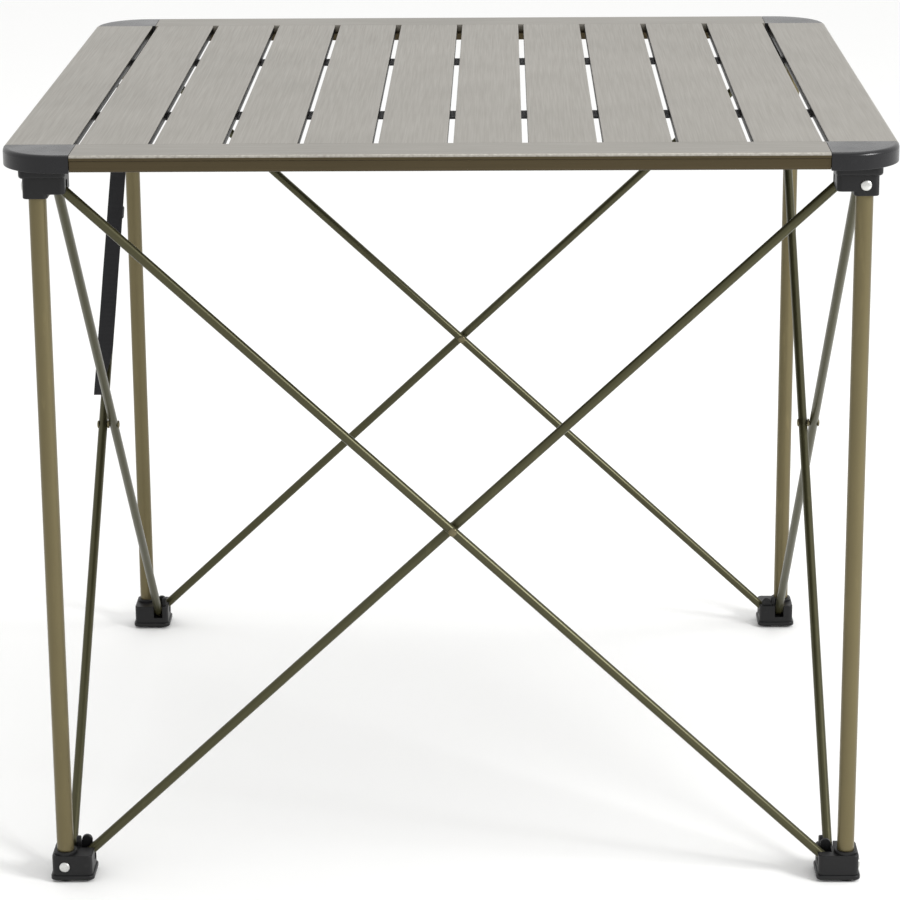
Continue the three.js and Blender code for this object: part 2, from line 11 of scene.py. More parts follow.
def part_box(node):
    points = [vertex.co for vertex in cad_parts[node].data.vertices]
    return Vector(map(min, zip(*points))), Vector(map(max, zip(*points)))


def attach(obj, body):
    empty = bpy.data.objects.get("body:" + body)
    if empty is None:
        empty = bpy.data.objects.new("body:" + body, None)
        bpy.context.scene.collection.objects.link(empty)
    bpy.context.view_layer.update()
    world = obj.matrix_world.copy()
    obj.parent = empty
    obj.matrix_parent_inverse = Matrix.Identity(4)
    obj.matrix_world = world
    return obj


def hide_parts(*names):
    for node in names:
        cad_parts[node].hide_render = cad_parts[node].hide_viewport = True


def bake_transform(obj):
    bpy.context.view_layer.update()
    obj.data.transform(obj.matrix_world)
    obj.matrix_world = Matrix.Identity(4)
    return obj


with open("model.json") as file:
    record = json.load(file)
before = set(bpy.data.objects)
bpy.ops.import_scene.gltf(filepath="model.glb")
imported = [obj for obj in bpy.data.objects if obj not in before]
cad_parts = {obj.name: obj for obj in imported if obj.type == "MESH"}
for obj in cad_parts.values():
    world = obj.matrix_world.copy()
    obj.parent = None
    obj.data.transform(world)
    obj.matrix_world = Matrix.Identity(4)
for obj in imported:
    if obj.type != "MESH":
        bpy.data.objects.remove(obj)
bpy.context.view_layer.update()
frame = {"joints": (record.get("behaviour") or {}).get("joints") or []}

bl_info = {
    "name": "Folding camp table",
    "version": (1, 0, 0),
    "blender": (4, 5, 0),
    "location": "3D View > Sidebar > Camp table",
    "description": "Builds the visible pieces of a folding camp table around its frame",
    "category": "Add Mesh",
}

MM = 0.001

# Corners and sides are counted anticlockwise seen from above. Side k runs from corner k to k + 1.
CORNERS = ("front_right", "back_right", "back_left", "front_left")
SIDES = ("right", "back", "left", "front")
SLAT_COUNT = 12
SEAM = 0.3 * MM


# ---- places taken from the frame ------------------------------------------------------
def joint_place(name):
    return Vector(next(joint for joint in frame["joints"] if joint["name"] == name)["pos_m"])


def middle(node):
    low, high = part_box(node)
    return (low + high) / 2


LEG_AXIS = middle("leg_tube_front_right").x
FOOT_PIVOT = joint_place("frame_fold")
HUB_PIVOT = joint_place("front_left_hub_pivot")
PIVOT = FOOT_PIVOT.y
PIVOT_IN = LEG_AXIS - PIVOT
INNER_ARM_IN = LEG_AXIS + FOOT_PIVOT.x
OUTER_ARM_IN = LEG_AXIS + joint_place("front_left_foot_pivot").x
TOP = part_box("slat_02")[1].z
SLAT_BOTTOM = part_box("slat_02")[0].z
SLAT_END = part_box("slat_02")[1].y
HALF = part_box("slat_12")[1].x
HUB_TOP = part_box("hub_front_right")[1].z
HUB_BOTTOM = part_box("hub_front_right")[0].z
RAIL_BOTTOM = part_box("edge_rail_front")[0].z
CAP_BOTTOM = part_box("corner_cap_front_right")[0].z
CAP_INNER = Vector((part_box("corner_cap_front_right")[0].x, -SLAT_END - 0.4 * MM))
BLOCK_OUT = 12 * MM
BLOCK_IN = 26 * MM
SLOT_CLEARANCE = 0.7 * MM
SLOT_SPARE = 1 * MM
MOULDED_CREASE = 40
RIVET_CREASE = 50


# ---- sizes and colours that a user would change ---------------------------------------
def linear(hex_colour):
    """An sRGB hex colour as linear RGBA."""
    channels = [int(hex_colour[start:start + 2], 16) / 255 for start in (1, 3, 5)]
    return (*[c / 12.92 if c <= 0.04045 else ((c + 0.055) / 1.055) ** 2.4 for c in channels], 1.0)


def length_property(name, millimetres, description):
    return FloatProperty(
        name=name, description=description, default=millimetres * MM, unit="LENGTH", min=0)


def colour_property(name, hex_colour, description):
    return FloatVectorProperty(
        name=name, description=description, default=linear(hex_colour), size=4,
        subtype="COLOR", min=0, max=1)


class SlatSettings(bpy.types.PropertyGroup):
    """The twelve slats of the top"""

    colour: colour_property("Colour", "#96928a", "Anodised colour of the slats")
    # Painted shade: a slat's sides and underside take this near-black colour to stand for the shade in the
    # gaps between slats.
    painted_side_shade: colour_property("Sides", "#15120c", "Anodised colour of a slat's upright sides")
    edge: length_property("Edge radius", 1.2, "Rounding along a slat's long edges")
    outer_edge: length_property("Outer radius", 3.5, "Rounding at the table's left and right edges")
    wall: length_property("Wall", 1.1, "Wall of the extrusion")
    chambers: IntProperty(name="Chambers", description="Hollows in the extrusion", default=3, min=1)


class RailSettings(bpy.types.PropertyGroup):
    """The front and back edge rails"""

    # Painted shade: the rail's upright face takes this dark bronze to stand for the dark it reflects and
    # the shade under the nose.
    painted_face_shade: colour_property("Face", "#4a402b", "Anodised colour of the rail's upright face")
    nose: length_property("Nose radius", 4, "Rounding of the rail's top edge")
    recess: length_property("Recess", 1.3, "How far the face lies behind the nose")
    wall: length_property("Wall", 1.4, "Wall of the extrusion")


class CapSettings(bpy.types.PropertyGroup):
    """The four corner caps"""

    colour: colour_property("Colour", "#161618", "Moulded colour of the corner caps")
    corner: length_property("Corner radius", 54, "Sweep of the cap's outer corner")
    rounding: length_property("Rounding", 4, "Rounding of the cap's top edge")


class BlockSettings(bpy.types.PropertyGroup):
    """The hubs and the feet"""

    colour: colour_property("Colour", "#0e0e0f", "Moulded colour of the hubs and feet")
    corner: length_property("Corner radius", 5, "Rounding of the upright corners")
    rounding: length_property("Rounding", 1.2, "Rounding of the rims")


class TubeSettings(bpy.types.PropertyGroup):
    """The legs and the arms"""

    leg_colour: colour_property("Leg", "#665d40", "Anodised colour of the legs")
    # The arms' bronze is set darker than the legs' as painted shade, for the shade the arms sit in.
    arm_colour_with_shade: colour_property("Arm", "#43412a", "Anodised colour of the arms")
    leg: length_property("Leg", 16, "Outer diameter of a leg")
    leg_inner: length_property("Inner leg", 13, "Diameter of the tube that slides in a leg")
    arm: length_property("Arm", 9, "Outer diameter of an arm")
    pin: length_property("Pin", 4, "Diameter of the pivot pins")


class WebbingSettings(bpy.types.PropertyGroup):
    """The straps under the slats and the binding strap"""

    colour: colour_property("Colour", "#17171a", "Dyed colour of the webbing")
    rib: length_property("Rib", 1.6, "Spacing of the woven ribs")


class StageSettings(bpy.types.PropertyGroup):
    """The floor, lights and camera"""

    floor_colour: colour_property("Floor", "#f7f7f6", "Colour of the studio floor")
    lens: FloatProperty(name="Lens", description="Focal length in millimetres", default=129.2)
    pitch: FloatProperty(
        name="Pitch", description="Camera's tilt below the horizon",
        default=math.radians(16.2), subtype="ANGLE")


class TableSettings(bpy.types.PropertyGroup):
    """Everything that can be changed on the table"""

    slats: PointerProperty(type=SlatSettings)
    rails: PointerProperty(type=RailSettings)
    caps: PointerProperty(type=CapSettings)
    blocks: PointerProperty(type=BlockSettings)
    tubes: PointerProperty(type=TubeSettings)
    webbing: PointerProperty(type=WebbingSettings)
    stage: PointerProperty(type=StageSettings)


# ---- nodes and materials --------------------------------------------------------------
def add(tree, kind, inputs=None, **settings):
    """Adds a node. An input given as a socket is linked, and any other value is set on it."""
    node = tree.nodes.new(kind)
    for name, value in settings.items():
        setattr(node, name, value)
    for name, value in (inputs or {}).items():
        if isinstance(value, bpy.types.NodeSocket):
            tree.links.new(value, node.inputs[name])
        else:
            node.inputs[name].default_value = value
    return node


def new_material(name):
    material = bpy.data.materials.new(name)
    material.use_nodes = True
    material.node_tree.nodes.clear()
    return material


def surface(material, inputs):
    tree = material.node_tree
    shader = add(tree, "ShaderNodeBsdfPrincipled", inputs)
    add(tree, "ShaderNodeOutputMaterial", {"Surface": shader.outputs["BSDF"]})
    return material


def shade(colour, factor):
    return (*[min(1.0, channel * factor) for channel in colour[:3]], 1.0)


# Colour sockets of a mix node: the first colour, the second colour and the result.
COLOUR_A, COLOUR_B, MIXED = 6, 7, 2


def anodised_aluminium(name, colour, painted_face_shade, along, wear_and_highlight):
    """Extruded, brushed and anodised: a satin sheen with faint lines along the extrusion, a
    little uneven in tone, with painted shade on the upright faces, and slightly paler top edges
    that are wear on the slats and wear with a painted highlight on the rails' noses."""
    material = new_material(name)
    tree = material.node_tree
    place = add(tree, "ShaderNodeTexCoord").outputs["Object"]
    # Extrusion lines are 0.1 to 0.3 mm apart, drawn 1.2 mm apart so that they show.
    stretch = [1.0 if axis == along else 60.0 for axis in range(3)]
    drawn = add(tree, "ShaderNodeMapping", {"Vector": place, "Scale": stretch})
    lines = add(tree, "ShaderNodeTexNoise", {
        "Vector": drawn.outputs["Vector"], "Scale": 1 / (72 * MM), "Detail": 4.0}).outputs["Fac"]
    cloud = add(tree, "ShaderNodeTexNoise", {
        "Vector": place, "Scale": 1 / (110 * MM), "Detail": 2.0}).outputs["Fac"]
    chips = add(tree, "ShaderNodeTexNoise", {
        "Vector": place, "Scale": 1 / (3 * MM), "Detail": 3.0}).outputs["Fac"]
    # The face attribute marks the points that take the painted shade colour.
    face = add(tree, "ShaderNodeAttribute", attribute_name="face").outputs["Fac"]
    edge = add(tree, "ShaderNodeAttribute", attribute_name="edge").outputs["Fac"]
    tone = add(tree, "ShaderNodeMix", {
        "Factor": face, COLOUR_A: colour, COLOUR_B: painted_face_shade}, data_type="RGBA")
    cloudy = add(tree, "ShaderNodeMapRange", {
        "Value": cloud, "From Min": 0.3, "From Max": 0.7, "To Max": 0.6})
    uneven = add(tree, "ShaderNodeMix", {
        "Factor": cloudy.outputs["Result"], COLOUR_A: tone.outputs[MIXED], COLOUR_B: (0.84, 0.84, 0.83, 1),
    }, data_type="RGBA", blend_type="MULTIPLY")
    lined = add(tree, "ShaderNodeMapRange", {
        "Value": lines, "From Min": 0.3, "From Max": 0.7, "To Max": 0.7})
    brushed = add(tree, "ShaderNodeMix", {
        "Factor": lined.outputs["Result"], COLOUR_A: uneven.outputs[MIXED], COLOUR_B: (0.86, 0.86, 0.86, 1),
    }, data_type="RGBA", blend_type="MULTIPLY")
    chipped = add(tree, "ShaderNodeMapRange", {
        "Value": chips, "From Min": 0.3, "From Max": 0.75, "To Max": wear_and_highlight})
    worn_and_highlit = add(tree, "ShaderNodeMath", {0: edge, 1: chipped.outputs["Result"]}, operation="MULTIPLY")
    # This pale colour on the marked top edges is wear on the slats, and wear with a painted highlight on
    # the rails' noses.
    final = add(tree, "ShaderNodeMix", {
        "Factor": worn_and_highlit.outputs["Value"], COLOUR_A: brushed.outputs[MIXED], COLOUR_B: linear("#d2cfc6"),
    }, data_type="RGBA")
    roughness = add(tree, "ShaderNodeMapRange", {
        "Value": lines, "From Min": 0.3, "From Max": 0.7, "To Min": 0.38, "To Max": 0.48})
    bump = add(tree, "ShaderNodeBump", {
        "Height": lines, "Strength": 0.12, "Distance": 0.05 * MM})
    return surface(material, {
        "Base Color": final.outputs[MIXED], "Metallic": 0.72, "Normal": bump.outputs["Normal"],
        "Roughness": roughness.outputs["Result"]})


def anodised_tube(name, colour):
    """Drawn aluminium tube, anodised bronze: a satin highlight along its length, an uneven dyed
    tone and a few lighter rub marks."""
    material = new_material(name)
    tree = material.node_tree
    place = add(tree, "ShaderNodeTexCoord").outputs["Object"]
    grain = add(tree, "ShaderNodeTexNoise", {
        "Vector": place, "Scale": 1 / (1.5 * MM), "Detail": 2.0}).outputs["Fac"]
    cloud = add(tree, "ShaderNodeTexNoise", {
        "Vector": place, "Scale": 1 / (60 * MM), "Detail": 3.0}).outputs["Fac"]
    drawn = add(tree, "ShaderNodeMapping", {"Vector": place, "Scale": (1.0, 1.0, 0.2)})
    scuff = add(tree, "ShaderNodeTexNoise", {
        "Vector": drawn.outputs["Vector"], "Scale": 1 / (9 * MM), "Detail": 4.0}).outputs["Fac"]
    uneven = add(tree, "ShaderNodeMix", {
        "Factor": cloud, COLOUR_A: shade(colour, 0.88), COLOUR_B: shade(colour, 1.12)}, data_type="RGBA")
    scuffed = add(tree, "ShaderNodeMapRange", {
        "Value": scuff, "From Min": 0.62, "From Max": 0.74, "To Max": 0.3})
    rubbed = add(tree, "ShaderNodeMix", {
        "Factor": scuffed.outputs["Result"], COLOUR_A: uneven.outputs[MIXED],
        COLOUR_B: shade(colour, 1.6)}, data_type="RGBA")
    roughness = add(tree, "ShaderNodeMapRange", {
        "Value": cloud, "From Min": 0.3, "From Max": 0.7, "To Min": 0.28, "To Max": 0.36})
    bump = add(tree, "ShaderNodeBump", {"Height": grain, "Strength": 0.1, "Distance": 0.05 * MM})
    return surface(material, {
        "Base Color": rubbed.outputs[MIXED], "Metallic": 0.6, "Normal": bump.outputs["Normal"],
        "Roughness": roughness.outputs["Result"]})


def moulded_plastic(name, colour, roughness, grain):
    """Injection-moulded nylon: a fine spark-eroded texture, slightly greyer where it is
    scuffed, with an even sheen."""
    material = new_material(name)
    tree = material.node_tree
    place = add(tree, "ShaderNodeTexCoord").outputs["Object"]
    spark = add(tree, "ShaderNodeTexNoise", {
        "Vector": place, "Scale": 1 / (0.8 * MM), "Detail": 3.0}).outputs["Fac"]
    flow = add(tree, "ShaderNodeTexNoise", {
        "Vector": place, "Scale": 1 / (30 * MM), "Detail": 3.0}).outputs["Fac"]
    scuffs = add(tree, "ShaderNodeTexNoise", {
        "Vector": place, "Scale": 1 / (5 * MM), "Detail": 5.0}).outputs["Fac"]
    base = add(tree, "ShaderNodeMix", {
        "Factor": flow, COLOUR_A: shade(colour, 0.8), COLOUR_B: shade(colour, 1.2)}, data_type="RGBA")
    scuffed = add(tree, "ShaderNodeMapRange", {
        "Value": scuffs, "From Min": 0.6, "From Max": 0.75, "To Max": 0.2})
    final = add(tree, "ShaderNodeMix", {
        "Factor": scuffed.outputs["Result"], COLOUR_A: base.outputs[MIXED],
        COLOUR_B: linear("#2c2c2d")}, data_type="RGBA")
    sheen = add(tree, "ShaderNodeMapRange", {
        "Value": flow, "From Min": 0.3, "From Max": 0.7,
        "To Min": roughness - 0.04, "To Max": roughness + 0.05})
    bump = add(tree, "ShaderNodeBump", {
        "Height": spark, "Strength": grain, "Distance": 0.06 * MM})
    return surface(material, {
        "Base Color": final.outputs[MIXED], "IOR": 1.53, "Specular IOR Level": 0.28,
        "Normal": bump.outputs["Normal"], "Roughness": sheen.outputs["Result"]})


def plated_steel(name, dull, bright):
    """Plated steel rivets: satin, with fine turning marks and a dulled, uneven plating."""
    material = new_material(name)
    tree = material.node_tree
    place = add(tree, "ShaderNodeTexCoord").outputs["Object"]
    marks = add(tree, "ShaderNodeTexNoise", {
        "Vector": place, "Scale": 1 / (0.7 * MM), "Detail": 3.0}).outputs["Fac"]
    cloud = add(tree, "ShaderNodeTexNoise", {
        "Vector": place, "Scale": 1 / (4 * MM), "Detail": 3.0}).outputs["Fac"]
    tone = add(tree, "ShaderNodeMix", {
        "Factor": cloud, COLOUR_A: dull, COLOUR_B: bright}, data_type="RGBA")
    roughness = add(tree, "ShaderNodeMapRange", {
        "Value": marks, "From Min": 0.3, "From Max": 0.7, "To Min": 0.24, "To Max": 0.4})
    bump = add(tree, "ShaderNodeBump", {"Height": marks, "Strength": 0.15, "Distance": 0.04 * MM})
    return surface(material, {
        "Base Color": tone.outputs[MIXED], "Metallic": 1.0, "Normal": bump.outputs["Normal"],
        "Roughness": roughness.outputs["Result"]})


def woven_webbing(name, colour, rib):
    """Polyester webbing: close ribs across the strap with finer yarns between them, and a
    soft sheen where the ribs stand up; its colour holds painted shade in the hollows and a painted
    highlight on the rib tops."""
    material = new_material(name)
    tree = material.node_tree
    strap = add(tree, "ShaderNodeUVMap", uv_map="webbing").outputs["UV"]
    # A wave texture repeats every tau / 20 at scale 1.
    ribs = add(tree, "ShaderNodeTexWave", {
        "Vector": strap, "Scale": math.tau / (20 * rib), "Distortion": 0.4, "Detail": 1.0,
    }, bands_direction="X").outputs["Fac"]
    yarns = add(tree, "ShaderNodeTexWave", {
        "Vector": strap, "Scale": math.tau / (12 * rib), "Distortion": 0.3,
    }, bands_direction="Y").outputs["Fac"]
    height = add(tree, "ShaderNodeMath", {0: ribs, 1: yarns}, operation="MULTIPLY").outputs["Value"]
    fuzz = add(tree, "ShaderNodeTexNoise", {
        "Vector": strap, "Scale": 1 / (3 * MM), "Detail": 4.0}).outputs["Fac"]
    # Painted shade and highlight: the colour is darker in the hollows and lighter on the rib tops.
    tone = add(tree, "ShaderNodeMix", {
        "Factor": height, COLOUR_A: shade(colour, 0.6), COLOUR_B: shade(colour, 2.2)}, data_type="RGBA")
    fuzzy = add(tree, "ShaderNodeMapRange", {
        "Value": fuzz, "From Min": 0.3, "From Max": 0.7, "To Max": 0.4})
    final = add(tree, "ShaderNodeMix", {
        "Factor": fuzzy.outputs["Result"], COLOUR_A: tone.outputs[MIXED],
        COLOUR_B: shade(colour, 1.3)}, data_type="RGBA")
    roughness = add(tree, "ShaderNodeMapRange", {"Value": height, "To Min": 0.85, "To Max": 0.6})
    bump = add(tree, "ShaderNodeBump", {"Height": height, "Strength": 0.6, "Distance": 0.3 * MM})
    return surface(material, {
        "Base Color": final.outputs[MIXED], "Sheen Weight": 0.3, "Sheen Roughness": 0.4,
        "Normal": bump.outputs["Normal"], "Roughness": roughness.outputs["Result"]})


def studio_floor(name, colour):
    """Matt painted studio floor: pale, without gloss, with a trace of roller texture."""
    material = new_material(name)
    tree = material.node_tree
    place = add(tree, "ShaderNodeTexCoord").outputs["Object"]
    roller = add(tree, "ShaderNodeTexNoise", {
        "Vector": place, "Scale": 1 / (400 * MM), "Detail": 2.0}).outputs["Fac"]
    tone = add(tree, "ShaderNodeMix", {
        "Factor": roller, COLOUR_A: colour, COLOUR_B: shade(colour, 0.99)}, data_type="RGBA")
    return surface(material, {"Base Color": tone.outputs[MIXED], "Roughness": 0.9})


# ---- meshes ---------------------------------------------------------------------------
def mesh_object(name, vertices, faces):
    mesh = bpy.data.meshes.new(name)
    mesh.from_pydata([tuple(vertex) for vertex in vertices], [], faces)
    thing = bpy.data.objects.new(name, mesh)
    bpy.context.collection.objects.link(thing)
    return thing


def evaluated_mesh(thing):
    """An object's mesh with its modifiers applied. The object is used up."""
    bpy.context.view_layer.update()
    depsgraph = bpy.context.evaluated_depsgraph_get()
    mesh = bpy.data.meshes.new_from_object(
        thing.evaluated_get(depsgraph), preserve_all_data_layers=True, depsgraph=depsgraph)
    mesh.transform(thing.matrix_world)
    bpy.data.objects.remove(thing)
    return mesh


def piece(name, mesh, material, body, nodes=(), crease=35):
    """A finished piece: smooth faces with creases, flats that stay flat, and its CAD body."""
    mesh.materials.clear()
    mesh.materials.append(material)
    mesh.shade_smooth()
    mesh.set_sharp_from_angle(angle=math.radians(crease))
    thing = bpy.data.objects.new(name, mesh)
    bpy.context.collection.objects.link(thing)
    weighted = thing.modifiers.new("flats", "WEIGHTED_NORMAL")
    weighted.keep_sharp = True
    final = evaluated_mesh(thing)
    final.name = name
    thing = bpy.data.objects.new(name, final)
    bpy.context.collection.objects.link(thing)
    if body:
        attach(thing, body)
    if nodes:
        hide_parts(*nodes)
    return thing


def arc(centre, radius, start, end, steps):
    """Points on an arc, with angles in degrees."""
    angles = [math.radians(start + (end - start) * step / steps) for step in range(steps + 1)]
    return [(centre[0] + radius * math.cos(a), centre[1] + radius * math.sin(a)) for a in angles]


def rounded_outline(low, high, radii, steps=8):
    """A rectangle with rounded corners, anticlockwise from its lower left corner."""
    (x0, y0), (x1, y1) = low, high
    ll, lr, ur, ul = radii
    return [
        *arc((x0 + ll, y0 + ll), ll, 180, 270, steps), *arc((x1 - lr, y0 + lr), lr, 270, 360, steps),
        *arc((x1 - ur, y1 - ur), ur, 0, 90, steps), *arc((x0 + ul, y1 - ul), ul, 90, 180, steps),
    ]


def rings_object(name, rings, closed=False):
    """Joins rings of points, and closes the ends with flat faces unless the rings form a loop."""
    count = len(rings[0])
    vertices = [point for ring in rings for point in ring]
    faces = []
    spans = len(rings) if closed else len(rings) - 1
    for level in range(spans):
        here, above = level * count, (level + 1) % len(rings) * count
        faces += [(here + i, here + (i + 1) % count, above + (i + 1) % count, above + i)
                  for i in range(count)]
    if not closed:
        faces.append(tuple(reversed(range(count))))
        faces.append(tuple(range(len(vertices) - count, len(vertices))))
    return mesh_object(name, vertices, faces)


def slab(outline, low, high, bottom_rounding, top_rounding, steps=4):
    """An upright slab with rounded rims. outline(inset) gives its outline drawn in by inset."""
    levels = []
    for step in range(steps + 1):
        angle = math.pi / 2 * step / steps
        levels.append((bottom_rounding * (1 - math.sin(angle)),
                       low + bottom_rounding * (1 - math.cos(angle))))
    for step in range(steps + 1):
        angle = math.pi / 2 * step / steps
        levels.append((top_rounding * (1 - math.cos(angle)), high - top_rounding * (1 - math.sin(angle))))
    return rings_object("slab", [[(x, y, z) for x, y in outline(inset)] for inset, z in levels])


def turned(profile, origin, axis, segments=32, closed=False):
    """A solid of revolution. profile is a list of (distance along the axis, radius)."""
    origin, axis = Vector(origin), Vector(axis).normalized()
    side = axis.orthogonal().normalized()
    other = axis.cross(side)
    rings = []
    for along, radius in profile:
        centre = origin + axis * along
        rings.append([
            centre + (side * math.cos(angle) + other * math.sin(angle)) * max(radius, 1e-5)
            for angle in (math.tau * step / segments for step in range(segments))])
    return rings_object("turned", rings, closed)


def block(low, high):
    outline = [(low[0], low[1]), (high[0], low[1]), (high[0], high[1]), (low[0], high[1])]
    return rings_object("block", [[(x, y, z) for x, y in outline] for z in (low[2], high[2])])


def combined(base, *steps):
    """Unions and cuts made on a base object, which uses up the tools."""
    for operation, tool in steps:
        boolean = base.modifiers.new("boolean", "BOOLEAN")
        boolean.solver = "MANIFOLD"
        boolean.operation = operation
        boolean.object = tool
    mesh = evaluated_mesh(base)
    for _, tool in steps:
        bpy.data.objects.remove(tool)
    return mesh


def joined(meshes):
    """One mesh from several."""
    shell = bmesh.new()
    for mesh in meshes:
        shell.from_mesh(mesh)
    whole = bpy.data.meshes.new("joined")
    shell.to_mesh(whole)
    shell.free()
    return whole


def turned_copy(mesh, matrix):
    """A copy of a mesh in another place. A mirrored copy has its faces turned back outwards."""
    copy = mesh.copy()
    copy.transform(matrix)
    if matrix.determinant() < 0:
        copy.flip_normals()
    return copy


def quarter(turns):
    return Matrix.Rotation(turns * math.pi / 2, 4, "Z")


def in_corner(p, q, z=0.0):
    """A point at the front right corner: p inwards along -X and q inwards along +Y from the leg."""
    return Vector((LEG_AXIS - p, -LEG_AXIS + q, z))


def corner_block(p0, p1, q0, q1, z0, z1):
    return block(in_corner(p1, q0, z0), in_corner(p0, q1, z1))


def corner_outline(out, inward, radius):
    """The blocks' outline about the leg, drawn in by an inset."""
    def outline(inset):
        low = in_corner(inward - inset, -out + inset)
        high = in_corner(-out + inset, inward - inset)
        return rounded_outline(low[:2], high[:2], [max(radius - inset, 0.2 * MM)] * 4)
    return outline


# ---- the pieces -----------------------------------------------------------------------
class SlatsOperator(bpy.types.Operator):
    """Make the twelve slats from one extrusion rule"""

    bl_idname = "camp_table.slats"
    bl_label = "Slats"

    def execute(self, context):
        settings = context.scene.camp_table.slats
        # The side colour is painted shade on each slat's sides and underside; 0.15 sets the edge wear.
        material = anodised_aluminium(
            "Anodised aluminium slat", settings.colour, settings.painted_side_shade, 1, 0.15)
        tree = slat_tree(material)
        for index in range(SLAT_COUNT):
            node = f"slat_{index + 1:02d}"
            low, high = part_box(node)
            outer = {0: 1, SLAT_COUNT - 1: 0}.get(index, -1)
            shape = mesh_object(node, [(0, 0, 0)], [])
            modifier = shape.modifiers.new("slat", "NODES")
            modifier.node_group = tree
            values = {
                "Width": high.x - low.x, "Thickness": high.z - low.z, "Length": high.y - low.y,
                "Edge": settings.edge, "Outer edge": settings.outer_edge, "Outer corner": outer,
                "Wall": settings.wall, "Chambers": settings.chambers,
            }
            for item in tree.interface.items_tree:
                if item.item_type == "SOCKET" and item.name in values:
                    modifier[item.identifier] = values[item.name]
            mesh = evaluated_mesh(shape)
            mesh.transform(Matrix.Translation((low + high) / 2))
            # Top edges are marked for wear, and the points below them for the painted shade colour.
            mark_worn_and_highlit_edges(mesh, TOP, settings.edge)
            mark_painted_shade(mesh, TOP - 0.9 * settings.edge)
            body = {0: "top_left_end", SLAT_COUNT - 1: "top_right_end"}.get(index, node)
            piece(f"{node}_extrusion", mesh, material, body, [node])
        return {"FINISHED"}


def mark_worn_and_highlit_edges(mesh, top, depth):
    """Stores how much of a point lies on a top edge, for the paler edge of the finish: wear on the slats,
    and wear with a painted highlight on the rails' noses.
    """
    edge = mesh.attributes.new("edge", "FLOAT", "POINT")
    edge.data.foreach_set("value", [
        1.0 if top - depth * 0.98 < vertex.co.z < top - depth * 0.02 else 0.0
        for vertex in mesh.vertices])


def mark_painted_shade(mesh, below):
    """Marks the points below a given height, which take the painted shade colour of the finish: a slat's
    sides and underside, and a rail's upright face.
    """
    face = mesh.attributes.new("face", "FLOAT", "POINT")
    face.data.foreach_set("value", [float(vertex.co.z < below) for vertex in mesh.vertices])


